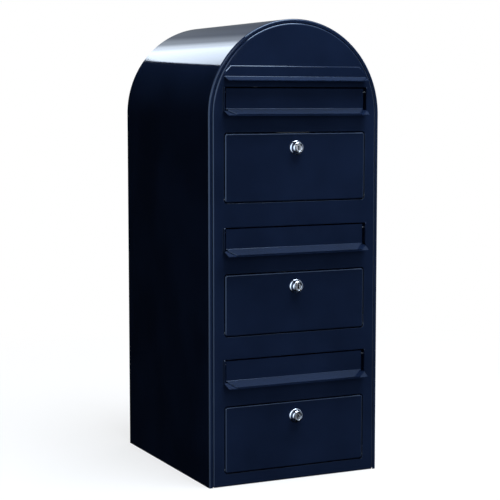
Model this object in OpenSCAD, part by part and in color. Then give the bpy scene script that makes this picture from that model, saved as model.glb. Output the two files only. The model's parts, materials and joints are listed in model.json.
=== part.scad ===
// Three-compartment letterbox with a half-round top, in folded and powder-coated sheet steel.
// Every compartment has a letter slot with a hanging flap, and below it a door that is hinged
// along its bottom edge and closed by a cam lock. Millimetres; the front faces -Y, +Z is up, and
// the origin is the centre of the bounding box's bottom face.

/* [Cabinet] */
// Outer width, and twice the radius of the half-round top
cabinet_w = 310; // [308:1:314]
// Outer depth from the front rim to the back face
cabinet_d = 360; // [250:5:450]
// Height of the crown above the bottom edge
cabinet_h = 757; // [752:1:780]
// Thickness of every folded sheet
sheet_t = 1.2; // [1:0.1:1.3]
// Width of the shell's front rim around the front panel
rim_w = 6; // [5:0.5:6]
// How far the front panel stands proud of the rim
panel_proud = 1; // [0.5:0.1:1.5]

/* [Letter slots] */
// Outer width of a slot frame
slot_w = 260; // [240:1:264]
// Height of a flap from the top of its frame down to the fold of its lip
flap_h = 35; // [32:1:38]
// How far the lips and the rain hood reach in front of the rim
lip_reach = 18; // [14:1:20]
// Height that a lip loses on its way out
lip_drop = 8.5; // [6:0.5:9]
// Top of the upper slot
upper_slot_top = 647.5; // [646:0.5:649]
// Top of the middle slot
middle_slot_top = 423; // [421:0.5:425]
// Top of the lower slot
lower_slot_top = 209; // [207:0.5:211]

/* [Doors] */
// Width of the doors
door_w = 254.5; // [240:0.5:256]
// Gap between a door and its aperture
door_gap = 1.5; // [1.4:0.1:2.2]
// How far a door's face stands proud of the front panel
door_proud = 1.2; // [0.8:0.1:1.5]
// Depth of the doors' folded edges
door_depth = 11; // [11:0.1:11.2]
// Bottom edge of the upper door
upper_door_bottom = 463; // [462:0.5:465]
// Height of the upper door
upper_door_h = 110.5; // [108:0.5:111]
// Bottom edge of the middle door
middle_door_bottom = 247; // [246:0.5:249]
// Height of the middle door
middle_door_h = 99.5; // [97:0.5:100]
// Bottom edge of the lower door
lower_door_bottom = 22; // [20:0.5:24]
// Height of the lower door
lower_door_h = 109; // [106:0.5:110]

/* [Locks] */
// Diameter of the lock's flange on the door
lock_head_d = 23.5; // [22:0.5:24]
// How far the lock stands proud of the door
lock_proud = 9.5; // [8:0.5:11]
// Height of the lock's axis below the top edge of its door
lock_drop = 24; // [23:0.5:26]

/* [Mounting] */
// Diameter of the four wall holes in the back panel
wall_hole_d = 8.5; // [6.5:0.5:10.5]
// Distance between the wall holes across
wall_hole_x = 200; // [160:5:220]
// Distance between the wall holes up and down
wall_hole_z = 520; // [500:10:540]
// Height of the lower wall holes
wall_hole_low = 120; // [100:5:130]
// Diameter of the four stand holes in the base plate
base_hole_d = 9; // [6.5:0.5:10.5]
// Distance between the stand holes across
base_hole_x = 160; // [120:5:200]
// Distance between the stand holes from front to back
base_hole_y = 180; // [120:5:200]

/* [Hidden] */

// Compartments, from the top down
UPPER = 0;
MIDDLE = 1;
LOWER = 2;
COMPARTMENTS = [UPPER, MIDDLE, LOWER];

paint = "#10203c";
steel = "#a9adb2";
chromium = "#d8dadd";
black_rubber = "#1b1b1c";

weld_gap = 0.2;
bend_r = 2;
fold_r = 1.2;

arch_r = cabinet_w / 2;
spring_z = cabinet_h - arch_r;
inner_w = cabinet_w - 2 * sheet_t;
front_y = -(cabinet_d - lip_reach) / 2;

// Front panel
panel_gap = 0.6;
panel_half = arch_r - rim_w - panel_gap;
panel_y = -panel_proud;
panel_back = panel_y + sheet_t;
panel_flange = 12;

// Slots and flaps
slot_top = [upper_slot_top, middle_slot_top, lower_slot_top];
fold_z = [for (top = slot_top) top - flap_h];
slot_depth = 17;
cheek_proud = 4;
cheek_y = panel_y - cheek_proud;
lip_gap = 0.5;
flap_side_gap = 3.6;
flap_w = slot_w - 2 * (sheet_t + flap_side_gap);
flap_y = panel_y + 0.6;
flap_top_gap = 2.4;
flap_axis_drop = 8.2;
flap_axis_y = flap_y + 4.4;
flap_axis_z = [for (top = slot_top) top - flap_axis_drop];
flap_pin_r = 1.5;
ear_depth = 7.6;
ear_h = 14;
lip_chamfer = 12;
sill_chamfer = 2;
lip_slope = lip_drop / (lip_reach + flap_y + sheet_t / 2);
lip_step = (sheet_t + lip_gap) * sqrt(1 + lip_slope * lip_slope);
sill_fold_y = panel_y - sheet_t;
sill_z = [for (z = fold_z) z - lip_step - lip_slope * (flap_y + sheet_t / 2 - sill_fold_y)];

// Rain hood over the upper slot
hood_w = slot_w - 4;
hood_fold_z = upper_slot_top + 16;
hood_top_z = hood_fold_z + 16.5;
hood_drop = 6.5;
hood_chamfer = 11.5;

// Doors and their hinges
door_bottom = [upper_door_bottom, middle_door_bottom, lower_door_bottom];
door_h = [upper_door_h, middle_door_h, lower_door_h];
door_top = [for (i = COMPARTMENTS) door_bottom[i] + door_h[i]];
door_y = panel_y - door_proud;
door_back = door_y + door_depth;
door_corner_r = 4;
aperture_w = door_w + 2 * door_gap;
aperture_corner_r = door_corner_r + door_gap;
rod_r = 1.75;
running_gap = 0.05;
door_axis_y = door_y + 5.2;
door_axis_z = [for (z = door_bottom) z + 5];
bracket_t = 1.5;
bracket_x = aperture_w / 2 + 0.8;
bracket_low = 5;
bracket_high = 20;
bracket_foot = 10;
clip_r = 2.7;
clip_t = 0.6;
liner_gap = 0.3;
liner_low = 10;
liner_flange = 5;

// Locks
lock_z = [for (z = door_top) z - lock_drop];
lock_body_r = 8.5;
lock_face_r = 8;
plug_r = 5.5;
plug_face_r = 6.4;
plug_face_t = 1.6;
keyhole_w = 2.4;
keyhole_h = 7.6;
keyhole_depth = 7;
nut_t = 2.8;
nut_across = 24;
lock_body_back = door_back + nut_t;
cam_y = lock_body_back + 0.6;
cam_t = 2;
cam_w = 14;
cam_reach = 26;
cam_tip_r = 3;
cam_square = 6.5;
screw_r = 2;
screw_head_r = 4.2;
screw_head_t = 2.4;

// Lock keepers behind the front panel
keeper_w = 60;
keeper_rise = 16;
keeper_step = 3;
keeper_hang = 9;
keeper_y = door_back + 1.6 + sheet_t / 2;
pad_r = 3;
pad_x = 22;
pad_t = 1.3;

// Mail guards behind the slots
guard_w = slot_w - 10;
guard_reach = 80;
guard_drop = 5;
guard_fall = 33;
guard_foot = 11;
guard_end = 12;

// Shelves and base
shelf_z = [(middle_slot_top + upper_door_bottom) / 2, (lower_slot_top + middle_door_bottom) / 2];
shelf_flange = 12;
back_flange = 14;
base_front = panel_y + panel_flange + weld_gap;
base_back = cabinet_d - back_flange - 2;
base_flange = 14;
drain_d = 6;
drain_y = base_front + 20;

$fn = 64;

// ---- Helpers ----

// Moves a piece drawn from the rim's front plane into the part's own frame
module placed() {
    translate([0, front_y, 0]) children();
}

// Extrudes a Y-Z outline across the part, centred on X = 0
module across(w) {
    rotate([90, 0, 90]) translate([0, 0, -w / 2]) linear_extrude(w) children();
}

// Extrudes an X-Z outline backwards from a given Y
module facing(y, depth) {
    translate([0, y + depth, 0]) rotate([90, 0, 0]) linear_extrude(depth) children();
}

// A round bar along X
module bar_x(r, w) {
    rotate([0, 90, 0]) cylinder(r = r, h = w, center = true);
}

// A round bar along Y, from its front face backwards
module bar_y(r, depth) {
    rotate([-90, 0, 0]) cylinder(r = r, h = depth);
}

function unit(v) = v / norm(v);
function left_of(v) = [-v[1], v[0]];
function turn(a, b, c) = sign(cross(b - a, c - b));
function setback(a, b, c, r) = r * tan(acos(unit(b - a) * unit(c - b)) / 2);
function bend_start(a, b, c, r) = b - unit(b - a) * setback(a, b, c, r);
function bend_end(a, b, c, r) = b + unit(c - b) * setback(a, b, c, r);
function bend_centre(a, b, c, r) = bend_start(a, b, c, r) + left_of(unit(b - a)) * r * turn(a, b, c);
function mitre(a, b, c) = left_of(unit(b - a) + unit(c - b)) / (1 + unit(b - a) * unit(c - b));

// Outline points beside one bend, at a distance out to the left: its inner side runs through its centre
function beside_bend(a, b, c, r, out) =
    turn(a, b, c) * out < 0 ? [b + mitre(a, b, c) * out] :
    [bend_start(a, b, c, r) + left_of(unit(b - a)) * out, bend_centre(a, b, c, r),
     bend_end(a, b, c, r) + left_of(unit(c - b)) * out];

// Outline points along one side of a folded sheet
function sheet_side(points, r, out) =
    let (last = len(points) - 1,
         first_step = left_of(unit(points[1] - points[0])) * out,
         last_step = left_of(unit(points[last] - points[last - 1])) * out)
    concat([points[0] + first_step],
           [for (i = [1 : last - 1]) each beside_bend(points[i - 1], points[i], points[i + 1], r, out)],
           [points[last] + last_step]);

// What a bend of outer radius r loses from its sharp corner
module bend_cut(a, b, c, mid_r, outer_r) {
    centre = bend_centre(a, b, c, mid_r);
    corners = [centre, bend_start(a, b, c, mid_r), b, bend_end(a, b, c, mid_r)];
    difference() {
        polygon([for (corner = corners) centre + (2 * outer_r / mid_r - 1) * (corner - centre)]);
        translate(centre) circle(outer_r);
    }
}

// Cross-section of a folded sheet that follows the points, with round bends of middle radius r
module sheet_section(points, r, t = sheet_t) {
    right = sheet_side(points, r, -t / 2);
    difference() {
        polygon(concat(sheet_side(points, r, t / 2), [for (i = [len(right) - 1 : -1 : 0]) right[i]]));
        for (i = [1 : len(points) - 2]) {
            a = points[i - 1];
            b = points[i];
            c = points[i + 1];
            translate(bend_centre(a, b, c, r)) circle(r - t / 2);
            bend_cut(a, b, c, r, r + t / 2);
        }
    }
}

// Half section of a pan's edge, from the centre of its corner outwards and then back
module pan_edge(corner_r, depth) {
    mid = sheet_t / 2;
    sheet_section([[0, mid], [corner_r - mid, mid], [corner_r - mid, depth]], bend_r);
}

// A shallow pan with folded and rounded edges: its face at Y = 0, its edges folded back
module pan(w, bottom, top, depth, bottom_r, top_r) {
    half = w / 2;
    side_h = top - bottom - top_r - bottom_r;
    for (side = [0, 1]) mirror([side, 0, 0]) {
        translate([half - top_r, 0, top - top_r]) quarter_turn() pan_edge(top_r, depth);
        translate([half - bottom_r, 0, bottom + bottom_r]) {
            mirror([0, 0, 1]) quarter_turn() pan_edge(bottom_r, depth);
            linear_extrude(side_h) pan_edge(bottom_r, depth);
        }
    }
    if (half > top_r) translate([0, 0, top - top_r]) edge_across(w - 2 * top_r) pan_edge(top_r, depth);
    translate([0, 0, bottom + bottom_r]) {
        mirror([0, 0, 1]) edge_across(w - 2 * bottom_r) pan_edge(bottom_r, depth);
        translate([bottom_r - half, 0, 0]) cube([w - 2 * bottom_r, sheet_t, side_h]);
    }
}

// Turns a pan's edge section round the corner from +X up to +Z
module quarter_turn() {
    rotate([-90, 0, 0]) rotate([0, 0, -90]) rotate_extrude(angle = 90) children();
}

// Runs a pan's edge section along X, with its outward side up
module edge_across(w) {
    translate([w / 2, 0, 0]) rotate([0, -90, 0]) linear_extrude(w) children();
}

// A rectangle with round corners in the X-Z plane, centred on X = 0
module round_rect(w, bottom, top, r) {
    translate([-w / 2 + r, bottom]) square([w - 2 * r, top - bottom]);
    translate([-w / 2, bottom + r]) square([w, top - bottom - 2 * r]);
    for (x = [r - w / 2, w / 2 - r], z = [bottom + r, top - r]) translate([x, z]) circle(r);
}

// ---- Cabinet ----

// Half section of the shell: the side wall, the round front edge and the rim turned inwards
module shell_section() {
    mid = arch_r - sheet_t / 2;
    sheet_section([[mid, cabinet_d], [mid, sheet_t / 2], [arch_r - rim_w, sheet_t / 2]], bend_r);
}

module shell() {
    color(paint) placed() {
        translate([0, 0, spring_z]) for (side = [0, 1]) mirror([side, 0, 0]) {
            quarter_turn() shell_section();
        }
        for (side = [0, 1]) mirror([side, 0, 0]) linear_extrude(spring_z) shell_section();
    }
}

module front_panel() {
    color(paint) placed() difference() {
        translate([0, panel_y, 0]) {
            pan(2 * panel_half, 0, spring_z + panel_half, panel_flange, bend_r + sheet_t, panel_half);
        }
        for (i = COMPARTMENTS) {
            facing(panel_y - 1, sheet_t + 2) {
                round_rect(aperture_w, door_bottom[i] - door_gap, door_top[i] + door_gap, aperture_corner_r);
            }
            facing(panel_y - 1, sheet_t + 2) {
                translate([-slot_w / 2, sill_z[i] - sheet_t / 2]) {
                    square([slot_w, slot_top[i] + sheet_t - sill_z[i] + sheet_t / 2]);
                }
            }
        }
    }
}

module back_panel() {
    half = inner_w / 2 - weld_gap;
    color(paint) placed() difference() {
        translate([0, cabinet_d, 0]) mirror([0, 1, 0]) {
            pan(2 * half, 0, spring_z + half, back_flange, bend_r + sheet_t, half);
        }
        for (x = [-1, 1] * wall_hole_x / 2, z = [wall_hole_low, wall_hole_low + wall_hole_z]) {
            translate([x, cabinet_d - 2 * sheet_t, z]) bar_y(wall_hole_d / 2, 3 * sheet_t);
        }
    }
}

module base_plate() {
    half = inner_w / 2 - weld_gap;
    mid = sheet_t / 2;
    middle_y = (base_front + base_back) / 2;
    side_section = [[mid - half, base_flange], [mid - half, mid],
                    [half - mid, mid], [half - mid, base_flange]];
    color(paint) placed() difference() {
        facing(base_front, base_back - base_front) sheet_section(side_section, bend_r);
        for (x = [-1, 1] * base_hole_x / 2, y = [-1, 1] * base_hole_y / 2) {
            translate([x, middle_y + y, -1]) cylinder(d = base_hole_d, h = sheet_t + 2);
        }
        for (x = [-1, 1] * base_hole_x / 2) {
            translate([x, drain_y, -1]) cylinder(d = drain_d, h = sheet_t + 2);
        }
    }
}

// A partition between two compartments, flanged down at the sides and at the front
module shelf(z) {
    half = inner_w / 2 - weld_gap;
    mid = sheet_t / 2;
    wide_y = panel_y + panel_flange + 2;
    front = panel_back + weld_gap;
    back = cabinet_d - back_flange - sheet_t;
    nose_half = panel_half - sheet_t - 2;
    side_section = [[mid - half, -shelf_flange], [mid - half, -mid],
                    [half - mid, -mid], [half - mid, -shelf_flange]];
    color(paint) placed() translate([0, 0, z]) {
        facing(wide_y, back - wide_y) sheet_section(side_section, bend_r);
        across(2 * nose_half) {
            sheet_section([[wide_y, -mid], [front + mid, -mid], [front + mid, -shelf_flange]], fold_r);
        }
    }
}

module rain_hood() {
    y = panel_y - sheet_t / 2;
    slope = (hood_drop - sheet_t / 2) / (lip_reach + y);
    color(paint) placed() difference() {
        across(hood_w) intersection() {
            sheet_section([[y, hood_top_z], [y, hood_fold_z],
                           [y - 2 * lip_reach, hood_fold_z - 2 * slope * lip_reach]], fold_r);
            translate([-lip_reach, 0]) square([2 * lip_reach, cabinet_h]);
        }
        for (side = [0, 1]) mirror([side, 0, 0]) translate([hood_w / 2, y, hood_top_z]) rotate([0, 45, 0]) {
            cube([2 * hood_chamfer, 2 * sheet_t, sqrt(2) * hood_chamfer], center = true);
        }
    }
}

// ---- Letter slots ----

// Outline of a lip seen from above: wide at its fold and chamfered towards its free edge
module lip_outline(w, fold_y, chamfer) {
    far = 2 * cabinet_d;
    polygon([[-w / 2, far], [-w / 2, fold_y], [chamfer - w / 2, -lip_reach],
             [w / 2 - chamfer, -lip_reach], [w / 2, fold_y], [w / 2, far]]);
}

// Keeps the part of the children that lies within a lip's outline
module within_lip(w, fold_y, chamfer) {
    intersection() {
        children();
        linear_extrude(cabinet_h) lip_outline(w, fold_y, chamfer);
    }
}

// The folded frame of a letter slot: top, two cheeks with the flap's pin holes, and a sill with a lip
module slot_frame(i) {
    top = slot_top[i];
    low = sill_z[i];
    round_r = cheek_proud / 2;
    color(paint) placed() {
        within_lip(slot_w, sill_fold_y, sill_chamfer) across(slot_w) {
            sheet_section([[slot_depth, low], [sill_fold_y, low],
                           [sill_fold_y - 2 * lip_reach, low - 2 * lip_slope * lip_reach]], fold_r);
        }
        difference() {
            for (side = [0, 1]) mirror([side, 0, 0]) translate([slot_w / 2 - sheet_t, 0, 0]) {
                rotate([90, 0, 90]) linear_extrude(sheet_t) {
                    translate([cheek_y + round_r, low]) square([slot_depth - cheek_y - round_r, top - low]);
                    translate([cheek_y, low + round_r]) square([2 * round_r, top - low - 2 * round_r]);
                    for (z = [low + round_r, top - round_r]) translate([cheek_y + round_r, z]) circle(round_r);
                }
            }
            translate([0, flap_axis_y, flap_axis_z[i]]) bar_x(flap_pin_r, slot_w + 2);
        }
        translate([-slot_w / 2, panel_y, top]) cube([slot_w, slot_depth - panel_y, sheet_t]);
    }
}

module flap(i) {
    mid_y = flap_y + sheet_t / 2;
    ear_top = slot_top[i] - flap_top_gap;
    color(paint) placed() {
        within_lip(flap_w, flap_y, lip_chamfer) across(flap_w) {
            sheet_section([[mid_y, ear_top], [mid_y, fold_z[i]],
                           [mid_y - 2 * lip_reach, fold_z[i] - 2 * lip_slope * lip_reach]], fold_r);
        }
        difference() {
            for (side = [0, 1]) mirror([side, 0, 0]) {
                translate([flap_w / 2 - sheet_t, mid_y, ear_top - ear_h]) {
                    rotate([90, 0, 90]) linear_extrude(sheet_t) difference() {
                        square([ear_depth, ear_h]);
                        translate([ear_depth, 0]) rotate(45) square(ear_depth, center = true);
                        translate([ear_depth, ear_h]) rotate(45) square(ear_depth / 2, center = true);
                    }
                }
            }
            translate([0, flap_axis_y, flap_axis_z[i]]) bar_x(flap_pin_r + running_gap, slot_w);
        }
    }
}

module flap_pin(i) {
    color(steel) placed() translate([0, flap_axis_y, flap_axis_z[i]]) bar_x(flap_pin_r, slot_w);
}

// A ramp behind the slot that carries letters inwards and keeps hands out
module mail_guard(i) {
    y = panel_back + sheet_t / 2;
    top = sill_z[i] - guard_drop;
    low = top - guard_fall;
    color(steel) placed() across(guard_w) {
        sheet_section([[y, top - guard_foot], [y, top], [slot_depth + 3, top],
                       [guard_reach, low], [guard_reach, low - guard_end]], bend_r);
    }
}

// ---- Doors ----

module door(i) {
    color(paint) placed() difference() {
        translate([0, door_y, 0]) {
            pan(door_w, door_bottom[i], door_top[i], door_depth, door_corner_r, door_corner_r);
        }
        translate([0, door_axis_y, door_axis_z[i]]) bar_x(rod_r + running_gap, door_w + 2);
        translate([0, door_y - 1, lock_z[i]]) bar_y(lock_body_r + running_gap, sheet_t + 2);
    }
}

// The inner pan that closes the back of a door
module door_liner(i) {
    half = door_w / 2 - sheet_t - liner_gap;
    bottom = door_bottom[i] + liner_low;
    top = door_top[i] - sheet_t - liner_gap;
    color(paint) placed() difference() {
        translate([0, door_back, 0]) mirror([0, 1, 0]) {
            pan(2 * half, bottom, top, liner_flange, door_corner_r, door_corner_r);
        }
        translate([0, door_back - 2 * sheet_t, lock_z[i]]) bar_y(lock_body_r + running_gap, 3 * sheet_t);
    }
}

module hinge_rod(i) {
    color(steel) placed() translate([0, door_axis_y, door_axis_z[i]]) {
        bar_x(rod_r, 2 * (bracket_x + bracket_t + clip_t));
    }
}

// The two angle brackets that carry a door's hinge rod, with their feet above the rod's clips
module hinge_brackets(i) {
    z = door_bottom[i] - bracket_low;
    h = bracket_low + bracket_high;
    ear_depth = door_axis_y + 5 - panel_back;
    foot_low = door_axis_z[i] + clip_r + 0.6 - z;
    color(steel) placed() for (side = [0, 1]) mirror([side, 0, 0]) difference() {
        translate([bracket_x, panel_back, z]) {
            cube([bracket_t, ear_depth, h]);
            translate([0, 0, foot_low]) cube([bracket_t + bracket_foot, bracket_t, h - foot_low]);
        }
        translate([0, door_axis_y, door_axis_z[i]]) bar_x(rod_r, cabinet_w);
    }
}

// Push-on clips at both ends of the three hinge rods
module rod_clips() {
    x = bracket_x + bracket_t;
    color(steel) placed() for (i = COMPARTMENTS, side = [0, 1]) mirror([side, 0, 0]) {
        translate([x, door_axis_y, door_axis_z[i]]) rotate([0, 90, 0]) difference() {
            cylinder(r = clip_r, h = clip_t);
            translate([0, 0, -1]) cylinder(r = rod_r, h = clip_t + 2);
        }
    }
}

// ---- Locks ----

// Half section of the lock's housing: radius outwards, depth backwards from the face of the door
module barrel_section() {
    head_r = lock_head_d / 2;
    skirt = 2.2;
    groove = 0.5;
    crown = 1.2;
    difference() {
        union() {
            polygon([[0, -lock_proud], [lock_face_r, -lock_proud], [lock_face_r + crown, -lock_proud + crown],
                     [head_r - 1.2, -skirt - groove], [head_r - 1.2, -skirt],
                     [head_r, -skirt + 0.8], [head_r, 0], [0, 0]]);
            square([lock_body_r, lock_body_back - door_y]);
        }
        translate([0, -lock_proud - 1]) {
            square([plug_r + running_gap, lock_proud + lock_body_back - door_y + 2]);
            square([plug_face_r + running_gap, plug_face_t + running_gap + 1]);
        }
    }
}

module lock_barrel(i) {
    color(chromium) placed() translate([0, door_y, lock_z[i]]) {
        rotate([-90, 0, 0]) rotate_extrude() barrel_section();
    }
}

module lock_nut(i) {
    color(steel) placed() translate([0, door_back, lock_z[i]]) rotate([-90, 0, 0]) difference() {
        cylinder(d = nut_across / cos(30), h = nut_t, $fn = 6);
        translate([0, 0, -1]) cylinder(r = lock_body_r, h = nut_t + 2);
    }
}

module lock_plug(i) {
    front = door_y - lock_proud;
    color(chromium) placed() translate([0, 0, lock_z[i]]) difference() {
        union() {
            translate([0, front, 0]) bar_y(plug_face_r, plug_face_t);
            translate([0, front, 0]) bar_y(plug_r, cam_y - front);
            translate([-cam_square / 2, cam_y - 1, -cam_square / 2]) {
                cube([cam_square, cam_t + 1, cam_square]);
            }
        }
        translate([-keyhole_w / 2, front - 1, -keyhole_h / 2]) {
            cube([keyhole_w, keyhole_depth + 1, keyhole_h]);
        }
        translate([0, cam_y - 6, 0]) bar_y(screw_r, 10);
    }
}

// The cam lies flat along +X when the door can open, and turns up behind the keeper to lock it
module lock_cam(i) {
    color(steel) placed() translate([0, 0, lock_z[i]]) difference() {
        facing(cam_y, cam_t) {
            circle(cam_w / 2);
            translate([0, -cam_w / 2]) square([cam_reach - cam_tip_r, cam_w]);
            translate([0, cam_tip_r - cam_w / 2]) square([cam_reach, cam_w - 2 * cam_tip_r]);
            for (side = [-1, 1]) {
                translate([cam_reach - cam_tip_r, side * (cam_w / 2 - cam_tip_r)]) circle(cam_tip_r);
            }
        }
        translate([-cam_square / 2, cam_y - 1, -cam_square / 2]) cube([cam_square, cam_t + 2, cam_square]);
    }
}

module lock_screw(i) {
    color(steel) placed() translate([0, cam_y + cam_t, lock_z[i]]) difference() {
        union() {
            bar_y(screw_head_r, screw_head_t);
            translate([0, -cam_t - 5, 0]) bar_y(screw_r, cam_t + 6);
        }
        for (angle = [0, 90]) rotate([0, angle, 0]) translate([0, screw_head_t, 0]) {
            cube([1.2 * screw_head_r, screw_head_t, 1], center = true);
        }
    }
}

// A stepped strip behind the front panel: the door closes against it and the cam turns in behind it
module lock_keeper(i) {
    z = door_top[i] + door_gap;
    y = panel_back + sheet_t / 2;
    color(steel) placed() across(keeper_w) {
        sheet_section([[y, z + keeper_rise], [y, z + keeper_step], [keeper_y, z + keeper_step],
                       [keeper_y, z - keeper_hang]], fold_r);
    }
}

// Rubber pads on the keepers, where the doors land
module keeper_pads() {
    color(black_rubber) placed() for (i = COMPARTMENTS, x = [-1, 1] * pad_x) {
        translate([x, keeper_y - sheet_t / 2 - pad_t, door_top[i] + door_gap - keeper_hang + pad_r + 1]) {
            bar_y(pad_r, pad_t);
        }
    }
}

shell();
front_panel();
back_panel();
base_plate();
shelf(shelf_z[UPPER]);  // shelf_upper
shelf(shelf_z[MIDDLE]);  // shelf_lower
rain_hood();
slot_frame(UPPER);  // slot_frame_upper
slot_frame(MIDDLE);  // slot_frame_middle
slot_frame(LOWER);  // slot_frame_lower
mail_guard(UPPER);  // mail_guard_upper
mail_guard(MIDDLE);  // mail_guard_middle
mail_guard(LOWER);  // mail_guard_lower
flap(UPPER);  // flap_upper
flap(MIDDLE);  // flap_middle
flap(LOWER);  // flap_lower
flap_pin(UPPER);  // flap_pin_upper
flap_pin(MIDDLE);  // flap_pin_middle
flap_pin(LOWER);  // flap_pin_lower
door(UPPER);  // door_upper
door(MIDDLE);  // door_middle
door(LOWER);  // door_lower
door_liner(UPPER);  // door_liner_upper
door_liner(MIDDLE);  // door_liner_middle
door_liner(LOWER);  // door_liner_lower
hinge_rod(UPPER);  // hinge_rod_upper
hinge_rod(MIDDLE);  // hinge_rod_middle
hinge_rod(LOWER);  // hinge_rod_lower
hinge_brackets(UPPER);  // hinge_brackets_upper
hinge_brackets(MIDDLE);  // hinge_brackets_middle
hinge_brackets(LOWER);  // hinge_brackets_lower
rod_clips();
lock_keeper(UPPER);  // lock_keeper_upper
lock_keeper(MIDDLE);  // lock_keeper_middle
lock_keeper(LOWER);  // lock_keeper_lower
keeper_pads();
lock_barrel(UPPER);  // lock_barrel_upper
lock_barrel(MIDDLE);  // lock_barrel_middle
lock_barrel(LOWER);  // lock_barrel_lower
lock_nut(UPPER);  // lock_nut_upper
lock_nut(MIDDLE);  // lock_nut_middle
lock_nut(LOWER);  // lock_nut_lower
lock_plug(UPPER);  // lock_plug_upper
lock_plug(MIDDLE);  // lock_plug_middle
lock_plug(LOWER);  // lock_plug_lower
lock_cam(UPPER);  // lock_cam_upper
lock_cam(MIDDLE);  // lock_cam_middle
lock_cam(LOWER);  // lock_cam_lower
lock_screw(UPPER);  // lock_screw_upper
lock_screw(MIDDLE);  // lock_screw_middle
lock_screw(LOWER);  // lock_screw_lower
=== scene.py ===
import json
import math

import bmesh
import bpy
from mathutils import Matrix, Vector


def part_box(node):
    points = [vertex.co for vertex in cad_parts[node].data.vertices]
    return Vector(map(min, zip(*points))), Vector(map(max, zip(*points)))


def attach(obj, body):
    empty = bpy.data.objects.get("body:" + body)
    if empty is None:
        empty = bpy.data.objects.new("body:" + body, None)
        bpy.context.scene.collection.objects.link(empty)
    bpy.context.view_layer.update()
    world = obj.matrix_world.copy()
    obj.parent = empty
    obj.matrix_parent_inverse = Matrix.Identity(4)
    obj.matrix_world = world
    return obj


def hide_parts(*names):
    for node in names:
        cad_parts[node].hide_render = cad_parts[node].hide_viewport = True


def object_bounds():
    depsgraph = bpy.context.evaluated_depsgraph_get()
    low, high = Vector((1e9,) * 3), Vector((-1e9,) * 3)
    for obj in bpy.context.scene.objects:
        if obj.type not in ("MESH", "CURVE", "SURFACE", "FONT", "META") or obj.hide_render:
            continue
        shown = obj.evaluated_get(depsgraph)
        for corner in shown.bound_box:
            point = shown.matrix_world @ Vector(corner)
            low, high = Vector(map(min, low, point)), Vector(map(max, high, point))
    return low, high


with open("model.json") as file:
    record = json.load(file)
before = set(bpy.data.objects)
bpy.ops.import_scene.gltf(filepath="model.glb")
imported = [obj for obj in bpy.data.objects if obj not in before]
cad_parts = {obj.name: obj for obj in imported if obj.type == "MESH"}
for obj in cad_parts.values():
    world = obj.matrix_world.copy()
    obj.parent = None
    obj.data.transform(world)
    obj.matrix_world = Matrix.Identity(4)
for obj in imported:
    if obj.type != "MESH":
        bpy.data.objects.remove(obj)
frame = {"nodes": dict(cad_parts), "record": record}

CAD_LOW, CAD_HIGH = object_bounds()

scene = bpy.context.scene
COMPARTMENTS = ("upper", "middle", "lower")
NODES = frame["nodes"]
SLOT_OF = {s["node"]: s["material_slot"] for s in frame["record"]["subparts"]}
MM = 0.001


# ---- Node helpers ----

RANGE_INPUTS = ("From Min", "From Max", "To Min", "To Max")


class Shader:
    """A material's node tree with short calls for the nodes used below."""

    def __init__(self, name):
        self.material = bpy.data.materials.new(name)
        self.material.use_nodes = True
        self.tree = self.material.node_tree
        self.tree.nodes.clear()
        self.out = self.tree.nodes.new("ShaderNodeOutputMaterial")
        self.coords = self.tree.nodes.new("ShaderNodeTexCoord").outputs["Object"]

    def link(self, a, b):
        self.tree.links.new(a, b)

    def node(self, kind, **values):
        made = self.tree.nodes.new(kind)
        for key, value in values.items():
            setattr(made, key, value)
        return made

    def fill(self, socket, value):
        """Links a socket to another socket, or sets its value."""
        if isinstance(value, bpy.types.NodeSocket):
            self.link(value, socket)
        else:
            socket.default_value = value

    def scaled(self, x, y, z):
        """The object's coordinates, stretched by a factor along each axis."""
        mapping = self.node("ShaderNodeMapping")
        self.link(self.coords, mapping.inputs["Vector"])
        mapping.inputs["Scale"].default_value = (x, y, z)
        return mapping.outputs["Vector"]

    def coordinate(self, axis):
        parts = self.node("ShaderNodeSeparateXYZ")
        self.link(self.coords, parts.inputs[0])
        return parts.outputs[axis]

    def noise(self, scale, detail=2.0, roughness=0.5, vector=None):
        made = self.node("ShaderNodeTexNoise")
        self.link(vector or self.coords, made.inputs["Vector"])
        made.inputs["Scale"].default_value = scale
        made.inputs["Detail"].default_value = detail
        made.inputs["Roughness"].default_value = roughness
        return made.outputs["Fac"]

    def spread(self, value, source, target):
        """Maps the source range onto the target range, and clamps it there."""
        made = self.node("ShaderNodeMapRange")
        for name, number in zip(RANGE_INPUTS, (*source, *target)):
            made.inputs[name].default_value = number
        self.fill(made.inputs["Value"], value)
        return made.outputs["Result"]

    def product(self, a, b):
        made = self.node("ShaderNodeMath", operation="MULTIPLY")
        self.fill(made.inputs[0], a)
        self.fill(made.inputs[1], b)
        return made.outputs[0]

    def mix(self, amount, a, b):
        made = self.node("ShaderNodeMix", data_type="RGBA")
        self.fill(made.inputs["Factor"], amount)
        self.fill(made.inputs[6], a)
        self.fill(made.inputs[7], b)
        return made.outputs[2]

    def bump(self, height, strength, distance):
        made = self.node("ShaderNodeBump")
        self.link(height, made.inputs["Height"])
        made.inputs["Strength"].default_value = strength
        made.inputs["Distance"].default_value = distance
        return made.outputs["Normal"]

    def finish(self, **values):
        """Adds the Principled shader with these inputs and returns the material."""
        shader = self.node("ShaderNodeBsdfPrincipled")
        for name, value in values.items():
            self.fill(shader.inputs[name.replace("_", " ")], value)
        self.link(shader.outputs["BSDF"], self.out.inputs["Surface"])
        return self.material


def colour(r, g, b):
    return (r, g, b, 1.0)


# ---- Materials ----

NAVY = (0.0061, 0.0118, 0.0318)
# How far the clouding goes either way from the base colour
CLOUDING = 0.14


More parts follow.
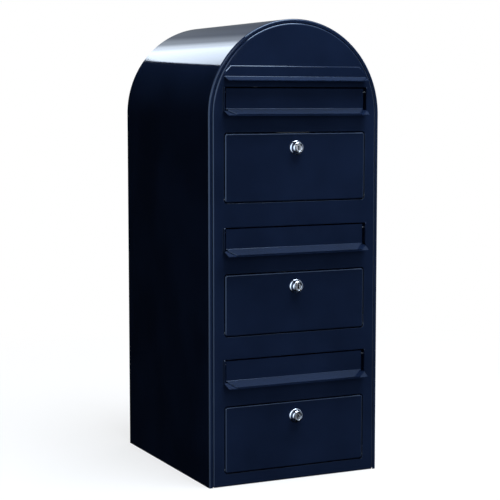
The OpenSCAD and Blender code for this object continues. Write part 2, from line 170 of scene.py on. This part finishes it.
def powder_coat(name, base):
    """Glossy powder coat with orange peel and faint clouding."""
    s = Shader(name)
    cloud = s.noise(scale=9.0, detail=3.0, roughness=0.55)
    peel = s.noise(scale=420.0, detail=2.0, roughness=0.45)
    darker = colour(*((1 - CLOUDING) * c for c in base))
    lighter = colour(*((1 + CLOUDING) * c for c in base))
    paint = s.mix(s.spread(cloud, (0.35, 0.65), (0.0, 1.0)), darker, lighter)
    haze = s.noise(scale=60.0, detail=4.0, roughness=0.6)
    gloss = s.spread(haze, (0.3, 0.7), (0.035, 0.065))
    normal = s.bump(peel, strength=0.05, distance=0.0004)
    tint = colour(0.62, 0.77, 1.0)
    return s.finish(Base_Color=paint, Roughness=gloss, Normal=normal, IOR=1.5, Specular_Tint=tint)


def zinc(name):
    """Zinc-plated sheet: satin, faintly brushed along X and clouded."""
    s = Shader(name)
    brushed = s.noise(scale=120.0, detail=4.0, roughness=0.6, vector=s.scaled(0.06, 6.0, 6.0))
    cloud = s.noise(scale=25.0, detail=4.0, roughness=0.6)
    amount = s.spread(cloud, (0.3, 0.7), (0.0, 1.0))
    base = s.mix(amount, colour(0.42, 0.43, 0.44), colour(0.58, 0.59, 0.60))
    gloss = s.spread(brushed, (0.3, 0.7), (0.28, 0.44))
    normal = s.bump(brushed, strength=0.15, distance=0.0002)
    return s.finish(Base_Color=base, Metallic=1.0, Roughness=gloss, Normal=normal)


def chrome(name, roughness=(0.05, 0.16), brightness=(0.70, 0.86)):
    """Chrome with faint wiping marks, within a range of roughness and one of brightness."""
    s = Shader(name)
    marks = s.noise(scale=900.0, detail=5.0, roughness=0.65, vector=s.scaled(1.0, 1.0, 0.12))
    gloss = s.spread(marks, (0.35, 0.75), roughness)
    dark, light = brightness
    cloud = s.noise(scale=90.0, detail=3.0)
    amount = s.spread(cloud, (0.35, 0.65), (0.0, 1.0))
    base = s.mix(amount, colour(dark, dark, 1.03 * dark), colour(light, light, 1.02 * light))
    normal = s.bump(marks, strength=0.03, distance=0.0001)
    return s.finish(Base_Color=base, Metallic=1.0, Roughness=gloss, Normal=normal)


def rubber(name):
    """Black rubber with a fine matt grain."""
    s = Shader(name)
    grain = s.noise(scale=2400.0, detail=3.0, roughness=0.6)
    base = s.mix(grain, colour(0.012, 0.012, 0.013), colour(0.030, 0.030, 0.031))
    gloss = s.spread(grain, (0.3, 0.7), (0.6, 0.85))
    normal = s.bump(grain, strength=0.3, distance=0.0002)
    return s.finish(Base_Color=base, Roughness=gloss, Normal=normal)


MATERIALS = {
    "navy_powder_coat": powder_coat("navy_powder_coat", NAVY),
    "zinc_steel": zinc("zinc_steel"),
    "lock_chrome": chrome("lock_chrome"),
    "black_rubber": rubber("black_rubber"),
}
# Satin face of the plug, and a near-black metal on the keyway's walls and floor: painted shade for the
# dark deep inside the keyhole
PLUG_METALS = (
    chrome("plug_face", roughness=(0.34, 0.44), brightness=(0.80, 0.93)),
    chrome("keyway", roughness=(0.55, 0.70), brightness=(0.015, 0.04)),
)
# Their places among the plug's materials, after the chrome
PLUG_FACE, SHADED_KEYWAY = 1, 2


def assign(piece, *materials):
    """Gives a piece these materials in place of its own."""
    # Clearing would also put every face back on the first material
    if len(piece.data.materials):
        piece.data.materials.clear()
    for material in materials:
        piece.data.materials.append(material)


# ---- Mesh helpers ----

# Sheet thickness, outer radius of a bend and rounding of a coated cut edge
SHEET = 0.0012
BEND = 0.0026
CUT_ROUND = 0.0003
# Steps in a quarter turn of each of them: cut edge, bend inside, bend outside
CUT_STEPS = 3
INNER_STEPS = 6
BEND_STEPS = 8

# Edges steeper than this are sharp, and points closer than this are one point
SHARP = math.radians(38)
WELD = 1e-7
# Weight of large faces in the shading, where 50 is neutral
FLAT_FACES_FIRST = 80


def arc(centre_u, centre_v, radius, start, end, steps):
    """Points on an arc, in degrees, both ends included."""
    angles = [math.radians(start + (end - start) * i / steps) for i in range(steps + 1)]
    return [(centre_u + radius * math.cos(a), centre_v + radius * math.sin(a)) for a in angles]


def outline(corners):
    """A closed outline of (x, z, radius, start, end, steps) corners: points with their way out."""
    points = []
    for x, z, radius, start, end, steps in corners:
        for i in range(steps + 1):
            a = math.radians(start + (end - start) * i / steps)
            out_x, out_z = math.cos(a), math.sin(a)
            points.append((x + radius * out_x, z + radius * out_z, out_x, out_z))
    return points


def box_corners(low_x, low_z, high_x, high_z, corner, radius, steps):
    """Corners of a rectangle, centred a corner's width inside it, for outline()."""
    return [
        (high_x - corner, low_z + corner, radius, -90, 0, steps),
        (high_x - corner, high_z - corner, radius, 0, 90, steps),
        (low_x + corner, high_z - corner, radius, 90, 180, steps),
        (low_x + corner, low_z + corner, radius, 180, 270, steps)]


def rounded_box(low_x, low_z, high_x, high_z, radius, steps=8):
    return outline(box_corners(low_x, low_z, high_x, high_z, radius, radius, steps))


def disc(x, z, radius, steps=48):
    return outline([(x, z, radius, 0, 360 * (steps - 1) / steps, steps - 1)])


class Maker:
    """Collects faces in one mesh and turns them into a piece."""

    def __init__(self):
        self.mesh = bmesh.new()
        self.rims = set()

    def points(self, places):
        return [self.mesh.verts.new(place) for place in places]

    def ring(self, points, y, out=0.0):
        """Vertices round an outline at one depth, moved outwards by a distance."""
        return self.points((x + nx * out, y, z + nz * out) for x, z, nx, nz in points)

    def join(self, first, second):
        """A closed band of faces between two rings."""
        for i in range(len(first)):
            j = (i + 1) % len(first)
            self.mesh.faces.new((first[i], first[j], second[j], second[i]))

    def joined(self, rings):
        for first, second in zip(rings, rings[1:]):
            self.join(first, second)

    def bar(self, rings):
        """A solid bar through its cross sections, closed at both ends."""
        self.joined(rings)
        self.mesh.faces.new(rings[0])
        self.mesh.faces.new(rings[-1])

    def fill(self, *rings):
        """A flat face inside the first ring with the other rings as its holes."""
        edges = []
        for ring in rings:
            for i in range(len(ring)):
                pair = (ring[i], ring[(i + 1) % len(ring)])
                edges.append(self.mesh.edges.get(pair) or self.mesh.edges.new(pair))
        self.rims.update(edges)
        bmesh.ops.triangle_fill(self.mesh, use_beauty=True, use_dissolve=False, edges=edges)

    def paint(self, first, index):
        """Gives the faces made since the first one another of the piece's materials."""
        self.mesh.faces.ensure_lookup_table()
        for face in self.mesh.faces[first:]:
            face.material_index = index

    def lathe(self, x, z, profile, steps):
        """Turns a closed (radius, y) profile about an axis along Y."""
        circle = disc(x, z, 0.0, steps)
        rings = [self.ring(circle, y, radius) for radius, y in profile]
        self.joined(rings + rings[:1])

    def is_smooth(self, edge):
        """Flat faces end sharply at their rims, and other edges are smooth unless they are steep."""
        return edge not in self.rims and (len(edge.link_faces) < 2 or edge.calc_face_angle() < SHARP)

    def piece(self, name, body, slot, *replaced, extra=()):
        bmesh.ops.remove_doubles(self.mesh, verts=self.mesh.verts, dist=WELD)
        bmesh.ops.recalc_face_normals(self.mesh, faces=self.mesh.faces)
        for face in self.mesh.faces:
            face.smooth = True
        for edge in self.mesh.edges:
            edge.smooth = self.is_smooth(edge)
        data = bpy.data.meshes.new(name)
        self.mesh.to_mesh(data)
        self.mesh.free()
        made = bpy.data.objects.new(name, data)
        scene.collection.objects.link(made)
        assign(made, MATERIALS[slot], *extra)
        weighted = made.modifiers.new("weighted", "WEIGHTED_NORMAL")
        weighted.keep_sharp = True
        weighted.weight = FLAT_FACES_FIRST
        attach(made, body)
        if replaced:
            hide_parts(*replaced)


def pan(name, body, node, corners, holes, low, high, outside):
    """A folded pan in place of a CAD node, as deep as the node's box.

    Its face is at the front of the box where outside is -1, and at the back where it is 1.
    """
    depth = high[1] - low[1]
    face = high[1] if outside > 0 else low[1]
    m = Maker()
    edge = [(0.0, 0.0)] + arc(0, BEND, BEND, -90, 0, BEND_STEPS)[1:]
    edge += arc(BEND - CUT_ROUND, depth - CUT_ROUND, CUT_ROUND, 0, 90, CUT_STEPS)
    edge += arc(BEND - SHEET + CUT_ROUND, depth - CUT_ROUND, CUT_ROUND, 90, 180, CUT_STEPS)
    edge += arc(0, BEND, BEND - SHEET, 0, -90, INNER_STEPS)
    points = outline(corners)
    rings = [m.ring(points, face - outside * y, out) for out, y in edge]
    m.joined(rings)
    outer, inner = [rings[0]], [rings[-1]]
    cut = arc(CUT_ROUND, CUT_ROUND, CUT_ROUND, 270, 180, CUT_STEPS)
    cut += arc(CUT_ROUND, SHEET - CUT_ROUND, CUT_ROUND, 180, 90, CUT_STEPS)
    for hole in holes:
        loops = [m.ring(hole, face - outside * y, out) for out, y in cut]
        m.joined(loops)
        outer.append(loops[0])
        inner.append(loops[-1])
    m.fill(*outer)
    m.fill(*inner)
    m.piece(name, body, "navy_powder_coat", node)


# ---- Cabinet ----

SHELL_LOW, SHELL_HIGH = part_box("shell")
HALF = SHELL_HIGH[0]
# Height at which the walls go over into the half-round top
SPRING = SHELL_HIGH[2] - HALF
FRONT, BACK = SHELL_LOW[1], SHELL_HIGH[1]
# Width of the rim that the shell turns in at the front, and the steps in its round edge
RIM = 0.006
RIM_STEPS = 10
ARCH_STEPS = 120

# Gap round a door, then the corner radii of doors, panels and slots with their steps
DOOR_GAP = 0.0015
DOOR_CORNER = 0.004
DOOR_STEPS = 6
PANEL_CORNER = 0.0032
PANEL_STEPS = 4
SLOT_CORNER = 0.0004
SLOT_STEPS = 3
# The slot's lower edge lies this far above the mail guard
SILL_OVER_GUARD = 0.0038
LOCK_HOLE_R = 0.00855


def make_shell():
    """Side walls and half-round top in one sheet, with a rim turned in at the front."""
    section = arc(HALF - CUT_ROUND, BACK - CUT_ROUND, CUT_ROUND, 90, 0, CUT_STEPS)
    section += arc(HALF - BEND, FRONT + BEND, BEND, 0, -90, RIM_STEPS)
    section += arc(HALF - RIM + CUT_ROUND, FRONT + CUT_ROUND, CUT_ROUND, -90, -180, CUT_STEPS)
    section += arc(HALF - RIM + CUT_ROUND, FRONT + SHEET - CUT_ROUND, CUT_ROUND, 180, 90, CUT_STEPS)
    section += arc(HALF - BEND, FRONT + BEND, BEND - SHEET, -90, 0, INNER_STEPS)
    section += arc(HALF - SHEET + CUT_ROUND, BACK - CUT_ROUND, CUT_ROUND, 180, 90, CUT_STEPS)
    foot = SHELL_LOW[2]
    turns = [180 - 180 * i / ARCH_STEPS for i in range(ARCH_STEPS + 1)]
    m = Maker()
    rings = []
    for turn, base in [(180, foot)] + [(turn, SPRING) for turn in turns] + [(0, foot)]:
        a = math.radians(turn)
        rings.append(m.points((u * math.cos(a), y, base + u * math.sin(a)) for u, y in section))
    m.bar(rings)
    m.piece("shell_sheet", "cabinet", "navy_powder_coat", "shell")


def arched(node, corner):
    """Corners of a panel with a half-round top that fills a node's box, inset by its bend."""
    low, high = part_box(node)
    half = high[0]
    centre = high[2] - half
    return [
        (half - corner, low[2] + corner, corner - BEND, -90, 0, PANEL_STEPS),
        (0.0, centre, half - BEND, 0, 180, ARCH_STEPS),
        (corner - half, low[2] + corner, corner - BEND, 180, 270, PANEL_STEPS)]


def rectangle(low, high):
    """Corners of a rectangular pan that fills a box, inset by its bend."""
    return box_corners(low[0], low[2], high[0], high[2], DOOR_CORNER, DOOR_CORNER - BEND, DOOR_STEPS)


def front_holes():
    """A doorway and a slot for each compartment."""
    holes = []
    for c in COMPARTMENTS:
        low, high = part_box("door_" + c)
        holes.append(rounded_box(
            low[0] - DOOR_GAP, low[2] - DOOR_GAP, high[0] + DOOR_GAP, high[2] + DOOR_GAP,
            DOOR_CORNER + DOOR_GAP))
        low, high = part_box("slot_frame_" + c)
        guard_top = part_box("mail_guard_" + c)[1][2]
        sill = guard_top + SILL_OVER_GUARD
        holes.append(rounded_box(low[0], sill, high[0], high[2], SLOT_CORNER, SLOT_STEPS))
    return holes


def wall_holes():
    """The back panel's holes, where the record's mount puts them."""
    mount = next(m for m in frame["record"]["mounts"] if m["name"] == "wall_holes")
    x, z = mount["pos_m"][0], mount["pos_m"][2]
    dims = mount["dims"]
    aside = dims["spacing_x_mm"] * MM / 2
    above = dims["spacing_y_mm"] * MM / 2
    radius = dims["hole_r_mm"] * MM
    return [disc(x + i * aside, z + j * above, radius) for i in (-1, 1) for j in (-1, 1)]


def make_panels():
    low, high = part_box("front_panel")
    pan("front_panel_sheet", "cabinet", "front_panel",
        arched("front_panel", PANEL_CORNER), front_holes(), low, high, -1)
    low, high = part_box("back_panel")
    pan("back_panel_sheet", "cabinet", "back_panel",
        arched("back_panel", PANEL_CORNER), wall_holes(), low, high, 1)


def make_door(c):
    """A door's outer pan and its liner, with the lock's hole through both."""
    body = f"door_{c}_body"
    low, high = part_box("lock_nut_" + c)
    hole = disc((low[0] + high[0]) / 2, (low[2] + high[2]) / 2, LOCK_HOLE_R)
    low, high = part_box("door_" + c)
    pan(f"door_{c}_sheet", body, "door_" + c, rectangle(low, high), [hole], low, high, -1)
    low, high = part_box("door_liner_" + c)
    pan(f"door_liner_{c}_sheet", body, "door_liner_" + c, rectangle(low, high), [hole], low, high, 1)


make_shell()
make_panels()
for c in COMPARTMENTS:
    make_door(c)


# ---- Rain hood's seam ----

# The hood's cut corners: their size, and half the angle that they turn
HOOD_CHAMFER = 0.0115
HOOD_HALF_TURN = math.radians(22.5)
SEAM_WIDTH = 0.0010
# How far the bead laps onto the hood
SEAM_LAP = 0.0006
# The bead's slope, in shares of its width and of the sheet's thickness
BEAD = ((1.0, 0.0), (0.62, 0.25), (0.28, 0.60), (0.0, 0.97))


def make_hood_seam():
    """Bead of sealant between the front panel and the rain hood's top edge and cut corners."""
    low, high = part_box("rain_hood")
    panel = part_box("front_panel")[0][1]
    half, top = high[0], high[2]
    slant = math.tan(HOOD_HALF_TURN)
    straight = math.sqrt(0.5)
    # Corners of the hood's edge, with the way out of the sheet at each of them
    path = [
        (-half, top - HOOD_CHAMFER, -straight, straight),
        (HOOD_CHAMFER - half, top, -slant, 1.0),
        (half - HOOD_CHAMFER, top, slant, 1.0),
        (half, top - HOOD_CHAMFER, straight, straight)]
    section = [(across * SEAM_WIDTH, rise * SHEET) for across, rise in BEAD]
    section += [(-SEAM_LAP / 2, 1.02 * SHEET), (-SEAM_LAP, 0.98 * SHEET), (-SEAM_LAP, 0.0)]
    m = Maker()
    m.bar([m.points((x + out_x * out, panel - rise, z + out_z * out) for out, rise in section)
           for x, z, out_x, out_z in path])
    m.piece("rain_hood_seam", "cabinet", "navy_powder_coat")


make_hood_seam()


# ---- Locks, in millimetres ----

# Radii of the housing's body, of its bore and of the wider bore round the plug's head
BODY_R = 8.5
BORE_R = 5.55
HEAD_BORE_R = 6.45
HEAD_BORE_DEPTH = 1.65
# Radius and depth behind the lock's face: the nose with its rounded rim and the start of the cone
NOSE = (
    (HEAD_BORE_R, HEAD_BORE_DEPTH), (HEAD_BORE_R, 0.25), (6.55, 0.08), (6.75, 0.0), (7.7, 0.0),
    (8.05, 0.08), (8.35, 0.3), (9.05, 1.0), (9.25, 1.35), (9.38, 1.9))
# Radius and depth behind the door's face, negative in front of it: the cone's foot, the groove
# and the flange
FLANGE = (
    (10.42, -3.0), (10.5, -2.65), (10.36, -2.48), (10.36, -2.3), (10.6, -2.15),
    (11.25, -1.88), (11.62, -1.5), (11.75, -1.1), (11.75, 0.0), (BODY_R, 0.0))
# Radius and depth behind the housing's back, negative in front of it: its two rounded edges
REAR = ((BODY_R, -0.3), (8.2, 0.0), (5.8, 0.0), (BORE_R, -0.25))

PLUG_R = 5.5
# Radius and depth behind the lock's face: the sunk face's edge, the raised ring round it and the
# head's side
HEAD = (
    (5.15, 0.22), (5.3, 0.18), (5.42, 0.04), (5.6, 0.0), (6.15, 0.0),
    (6.33, 0.08), (6.4, 0.28), (6.4, 1.6), (PLUG_R, 1.6))
KEY_HALF_W = 1.25
KEY_HALF_H = 4.0
# Distance out from the keyway's wall and depth: its rounded mouth in three rings, then its floor
KEYWAY_RINGS = ((0.22, 0.22), (0.08, 0.28), (0.0, 0.45), (0.0, 7.0))
MOUTH_RINGS = 3
# The square shank: half its width, its edge's rounding and how far it starts inside the body
SHANK_HALF = 3.25
SHANK_ROUND = 0.3
SHANK_ROUND_STEPS = 3
SHANK_SUNK = 0.5

HOUSING_SIDES = 96
PLUG_SIDES = 72
KEY_END_STEPS = 14


def make_housing(c, x, z, face, back):
    """The lock's housing: bores, nose, cone and flange in one turned piece."""
    door_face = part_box("door_" + c)[0][1]
    profile = []
    for steps, start in ((NOSE, face), (FLANGE, door_face), (REAR, back)):
        profile += [(r * MM, start + y * MM) for r, y in steps]
    profile.append((BORE_R * MM, face + HEAD_BORE_DEPTH * MM))
    m = Maker()
    m.lathe(x, z, profile, HOUSING_SIDES)
    m.piece(f"lock_{c}_housing", f"door_{c}_body", "lock_chrome", "lock_barrel_" + c)


def make_plug(c, x, z, face):
    """The lock's plug: head with its keyway, round body and the square shank that carries the cam."""
    cam_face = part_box("lock_cam_" + c)[0][1]
    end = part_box("lock_plug_" + c)[1][1]
    m = Maker()
    circle = disc(x, z, 0.0, PLUG_SIDES)
    rings = [m.ring(circle, face + y * MM, r * MM) for r, y in HEAD]
    rings.append(m.ring(circle, cam_face, PLUG_R * MM))
    m.joined(rings)
    m.fill(rings[-1])

    reach = (KEY_HALF_H - KEY_HALF_W) * MM
    radius = KEY_HALF_W * MM
    key = outline([
        (x, z + reach, radius, 0, 180, KEY_END_STEPS),
        (x, z - reach, radius, 180, 360, KEY_END_STEPS)])
    hole = [m.ring(key, face + y * MM, out * MM) for out, y in KEYWAY_RINGS]
    start = len(m.mesh.faces)
    m.joined(hole[MOUTH_RINGS - 1:])
    m.fill(hole[-1])
    # The keyway's walls and floor get the near-black painted shade
    m.paint(start, SHADED_KEYWAY)
    start = len(m.mesh.faces)
    m.joined(hole[:MOUTH_RINGS])
    m.fill(rings[0], hole[0])
    m.paint(start, PLUG_FACE)

    half = SHANK_HALF * MM
    square = rounded_box(x - half, z - half, x + half, z + half, SHANK_ROUND * MM,
                         SHANK_ROUND_STEPS)
    shank = [m.ring(square, y) for y in (cam_face - SHANK_SUNK * MM, end)]
    m.joined(shank)
    m.fill(shank[0])
    m.fill(shank[1])
    m.piece(f"lock_{c}_cylinder", f"lock_{c}_body", "lock_chrome", "lock_plug_" + c, extra=PLUG_METALS)


def make_lock(c):
    low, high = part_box("lock_barrel_" + c)
    x, z = (low[0] + high[0]) / 2, (low[2] + high[2]) / 2
    face, back = low[1], high[1]
    make_housing(c, x, z, face, back)
    make_plug(c, x, z, face)


for c in COMPARTMENTS:
    make_lock(c)


# ---- Carried-over nodes ----

# Cut edges are slightly rounded, those of coated sheets the most
EDGE_ROUNDING = {
    "navy_powder_coat": 0.00055,
    "zinc_steel": 0.00015,
    "lock_chrome": 0.00012,
    "black_rubber": 0.0003,
}
EDGE_STEPS = 3
# Edges steeper than this are rounded, and faces that lie flatter than this become one
ROUNDED_FROM = math.radians(50)
FLAT_WITHIN = math.radians(0.6)


def dress(node, slot):
    """Gives a CAD node its material, clean flat faces and rounded edges."""
    assign(node, MATERIALS[slot])
    for polygon in node.data.polygons:
        polygon.use_smooth = True
    flat = node.modifiers.new("flat_faces", "DECIMATE")
    flat.decimate_type = "DISSOLVE"
    flat.angle_limit = FLAT_WITHIN
    rounding = node.modifiers.new("rounding", "BEVEL")
    rounding.width = EDGE_ROUNDING[slot]
    rounding.segments = EDGE_STEPS
    rounding.limit_method = "ANGLE"
    rounding.angle_limit = ROUNDED_FROM
    weighted = node.modifiers.new("weighted", "WEIGHTED_NORMAL")
    weighted.keep_sharp = True


for name, node in NODES.items():
    dress(node, SLOT_OF[name])


# ---- Camera ----

# Where the camera stands, its turn from straight ahead, its tilt down and its lens
CAMERA_AT = (-1.1070, -2.3180, 0.6251)
CAMERA_TURN = 25.51
CAMERA_TILT = 5.75
CAMERA_LENS = 106.6
CAMERA_SENSOR = 36.0


def direction(turn_deg, rise_deg):
    """Unit vector from its turn from +Y towards +X and its rise above the floor."""
    a, e = math.radians(turn_deg), math.radians(rise_deg)
    return Vector((math.sin(a) * math.cos(e), math.cos(a) * math.cos(e), math.sin(e)))


def add_object(name, data):
    made = bpy.data.objects.new(name, data)
    scene.collection.objects.link(made)
    return made


scene.view_settings.view_transform = "Standard"
camera_data = bpy.data.cameras.new("camera")
camera_data.lens = CAMERA_LENS
camera_data.sensor_width = CAMERA_SENSOR
camera_data.clip_start = 0.05
camera_data.clip_end = 60.0
camera = add_object("camera", camera_data)
camera.location = CAMERA_AT
camera.rotation_euler = direction(CAMERA_TURN, -CAMERA_TILT).to_track_quat("-Z", "Y").to_euler()
scene.camera = camera


# ---- Floor and world ----

FLOOR_RADIUS = 9.0
FLOOR_SIDES = 96
# Just under the object, so that the two never share a plane
FLOOR_DROP = 0.0002
# Distances from the object's middle over which the floor's share of glowing white rises
FADE_OVER = (0.35, 1.5)
FLOOR_GLOW = (0.7, 1.0)
# The glow on the object is strongest from its front, a little from +X and from above
BRIGHT_SIDE = (0.42, -0.86, 0.29)
# How far a direction points to that side, and the strength of the glow from there
BRIGHT_OVER = (-0.6, 1.0)
ROOM_GLOW = (0.25, 0.65)


def floor_material():
    """Pale floor that lightens into the background away from the object."""
    s = Shader("floor")
    away = s.node("ShaderNodeVectorMath", operation="LENGTH")
    s.link(s.coords, away.inputs[0])
    amount = s.spread(away.outputs["Value"], FADE_OVER, FLOOR_GLOW)
    matt = s.node("ShaderNodeBsdfDiffuse")
    matt.inputs["Color"].default_value = colour(0.86, 0.86, 0.87)
    glow = s.node("ShaderNodeEmission")
    glow.inputs["Color"].default_value = colour(1.0, 1.0, 1.0)
    both = s.node("ShaderNodeMixShader")
    s.link(amount, both.inputs[0])
    s.link(matt.outputs[0], both.inputs[1])
    s.link(glow.outputs[0], both.inputs[2])
    s.link(both.outputs[0], s.out.inputs["Surface"])
    return s.material


def make_floor():
    mesh = bpy.data.meshes.new("floor")
    turns = [math.tau * i / FLOOR_SIDES for i in range(FLOOR_SIDES)]
    rim = [(FLOOR_RADIUS * math.cos(a), FLOOR_RADIUS * math.sin(a), 0.0) for a in turns]
    mesh.from_pydata(rim, [], [list(range(FLOOR_SIDES))])
    floor = add_object("floor", mesh)
    floor.location = (0, 0, CAD_LOW[2] - FLOOR_DROP)
    assign(floor, floor_material())
    floor.visible_glossy = False
    floor.visible_diffuse = False


def make_world():
    """White behind the object, a soft glow on it and a dark room in its reflections."""
    world = bpy.data.worlds.new("world")
    scene.world = world
    world.use_nodes = True
    nodes, links = world.node_tree.nodes, world.node_tree.links
    nodes.clear()
    path = nodes.new("ShaderNodeLightPath")
    out = nodes.new("ShaderNodeOutputWorld")

    def surround(r, g, b, strength=1.0):
        made = nodes.new("ShaderNodeBackground")
        made.inputs["Color"].default_value = colour(r, g, b)
        made.inputs["Strength"].default_value = strength
        return made

    def either(ray, others, own):
        made = nodes.new("ShaderNodeMixShader")
        links.new(path.outputs[ray], made.inputs[0])
        links.new(others, made.inputs[1])
        links.new(own, made.inputs[2])
        return made.outputs[0]

    mirrored = surround(0.55, 0.75, 1.0, 0.004)
    glow = surround(0.94, 0.97, 1.0)
    facing = nodes.new("ShaderNodeVectorMath")
    facing.operation = "DOT_PRODUCT"
    facing.inputs[1].default_value = BRIGHT_SIDE
    links.new(nodes.new("ShaderNodeTexCoord").outputs["Generated"], facing.inputs[0])
    level = nodes.new("ShaderNodeMapRange")
    for name, number in zip(RANGE_INPUTS, BRIGHT_OVER + ROOM_GLOW):
        level.inputs[name].default_value = number
    links.new(facing.outputs["Value"], level.inputs["Value"])
    links.new(level.outputs["Result"], glow.inputs["Strength"])
    around = either("Is Diffuse Ray", mirrored.outputs[0], glow.outputs[0])
    white = surround(1.0, 1.0, 1.0)
    links.new(either("Is Camera Ray", around, white.outputs[0]), out.inputs["Surface"])


make_floor()
make_world()


# ---- Lights ----

# The point that the lights face
AIM = Vector((0, 0, 0.4))

# Card behind the object: its distance and top, its lower edge from left to right in X and Z,
# and its brightness along X
CARD_BACK = 3.4
CARD_TOP = 3.2
CARD_EDGE = (
    (-1.3, 2.34), (-0.79, 2.145), (-0.37, 1.965), (0.3, 1.94), (0.75, 1.3), (1.2, 0.5), (2.4, 0.3))
CARD_LEVELS = (
    (-1.3, 0.5), (-0.85, 0.75), (-0.5, 0.95), (-0.05, 1.0), (0.15, 0.60),
    (0.4, 0.20), (0.8, 0.07), (1.4, 0.04), (2.4, 0.03))
CARD_RADIANCE = 5.0
CARD_TINT = (0.80, 0.89, 1.0)

GLOW_TINT = (0.66, 0.80, 1.0)
GLOW_COLUMNS, GLOW_ROWS = 12, 4
# Shares of a glow card's height over which it fades in from below and out at the top
FADE_IN, FADE_OUT = 0.45, 0.3


def softbox(name, turn_deg, rise_deg, distance, width, height, radiance, tint=(1.0, 1.0, 1.0)):
    """A soft light in some direction from the object, which it faces."""
    way = direction(turn_deg, rise_deg)
    data = bpy.data.lights.new(name, "AREA")
    data.shape = "RECTANGLE"
    data.size = width
    data.size_y = height
    data.energy = radiance * math.pi * width * height
    data.color = tint
    lamp = add_object(name, data)
    lamp.location = AIM + way * distance
    lamp.rotation_euler = (-way).to_track_quat("-Z", "Y").to_euler()
    lamp.visible_camera = False
    return lamp


def emission(s, tint, strength):
    """Ends a card's material in an emission of a tint and a strength."""
    glow = s.node("ShaderNodeEmission")
    s.fill(glow.inputs["Color"], tint)
    s.fill(glow.inputs["Strength"], strength)
    s.link(glow.outputs[0], s.out.inputs["Surface"])


def backdrop_card():
    """A glowing card behind the object, which the half-round top mirrors as one soft band."""
    left, right = CARD_EDGE[0][0], CARD_EDGE[-1][0]
    mesh = bpy.data.meshes.new("backdrop_card")
    corners = [(x, CARD_BACK, z) for x, z in CARD_EDGE]
    corners += [(right, CARD_BACK, CARD_TOP), (left, CARD_BACK, CARD_TOP)]
    mesh.from_pydata(corners, [], [list(range(len(corners)))])
    card = add_object("backdrop_card", mesh)
    s = Shader("backdrop_card")
    ramp = s.node("ShaderNodeValToRGB")
    s.link(s.spread(s.coordinate("X"), (left, right), (0.0, 1.0)), ramp.inputs["Fac"])
    stops = ramp.color_ramp.elements
    for i, (x, level) in enumerate(CARD_LEVELS):
        place = (x - left) / (right - left)
        stop = stops[i] if i < 2 else stops.new(place)
        stop.position = place
        stop.color = colour(*(level * c for c in CARD_TINT))
    ramp.color_ramp.interpolation = "EASE"
    emission(s, ramp.outputs["Color"], CARD_RADIANCE)
    assign(card, s.material)
    card.visible_camera = False


def glow_card(name, turns, rises, distance, radiance):
    """A curved card round the object: it shows only in reflections, as light lines on the bends."""
    m = Maker()
    grid = []
    for i in range(GLOW_COLUMNS + 1):
        turn = turns[0] + (turns[1] - turns[0]) * i / GLOW_COLUMNS
        steps = [rises[0] + (rises[1] - rises[0]) * j / GLOW_ROWS for j in range(GLOW_ROWS + 1)]
        grid.append(m.points(AIM + direction(turn, rise) * distance for rise in steps))
    for left, right in zip(grid, grid[1:]):
        for j in range(GLOW_ROWS):
            m.mesh.faces.new((left[j], right[j], right[j + 1], left[j + 1]))
    data = bpy.data.meshes.new(name)
    m.mesh.to_mesh(data)
    m.mesh.free()
    card = add_object(name, data)
    s = Shader(name)
    z = s.coordinate("Z")
    low, high = (AIM.z + distance * math.sin(math.radians(rise)) for rise in rises)
    fade_in = s.spread(z, (low, low + FADE_IN * (high - low)), (0.0, radiance))
    fade_out = s.spread(z, (high - FADE_OUT * (high - low), high), (1.0, 0.0))
    emission(s, colour(*GLOW_TINT), s.product(fade_in, fade_out))
    assign(card, s.material)
    card.visible_camera = False
    card.visible_diffuse = False
    card.visible_shadow = False


backdrop_card()
glow_card("left_glow", turns=(-172, -60), rises=(-40, 50), distance=2.4, radiance=2.4)
glow_card("right_glow", turns=(50, 130), rises=(-40, 50), distance=2.4, radiance=0.8)
glow_card("top_glow", turns=(75, 172), rises=(16, 72), distance=2.6, radiance=3.0)
softbox("overhead", turn_deg=162, rise_deg=71, distance=2.0, width=1.3, height=1.3, radiance=13.0,
        tint=(0.80, 0.90, 1.0))
softbox("front_fill", turn_deg=174, rise_deg=18, distance=2.8, width=1.5, height=1.0, radiance=2.4)
back_fill = softbox("back_fill", turn_deg=55, rise_deg=32, distance=2.8, width=1.5, height=1.5,
                    radiance=1.8)
back_fill.visible_glossy = False
